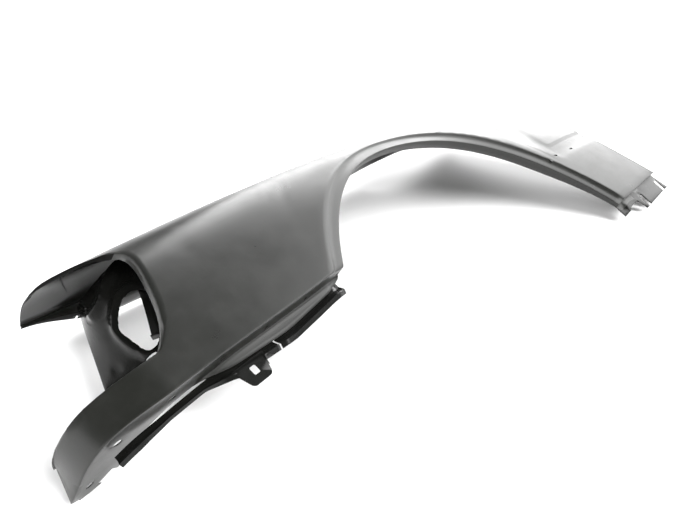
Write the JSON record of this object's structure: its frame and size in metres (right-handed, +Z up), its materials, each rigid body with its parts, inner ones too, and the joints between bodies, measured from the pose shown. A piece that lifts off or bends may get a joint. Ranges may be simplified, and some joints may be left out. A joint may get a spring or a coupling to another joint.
{
  "type": "car front fender",
  "caption": "Pressed left front car fender lying outer face up, with wheel arch lip, headlamp notch, bolting flanges and welded bumper rails.",
  "frame": {"origin": "middle of the part's footprint on the floor it lies on", "axes": "+X rearward along the car, +Y toward the hood side, +Z up from the floor, which is outward from the car leaned by 33 degrees"},
  "size_m": [1.156, 0.5496, 0.1966],
  "materials": {
    "outer_skin": "satin black primer",
    "bumper_rail_front": "gloss black primer",
    "bumper_rail_rear": "gloss black primer",
    "headlamp_panel": "gloss black primer",
    "lamp_strip": "gloss black primer"
  },
  "bodies": {
    "root": {"outer_skin": "outer_skin", "bumper_rail_front": "bumper_rail_front", "bumper_rail_rear": "bumper_rail_rear", "headlamp_panel": "headlamp_panel", "lamp_strip": "lamp_strip"}
  },
  "joints": []
}
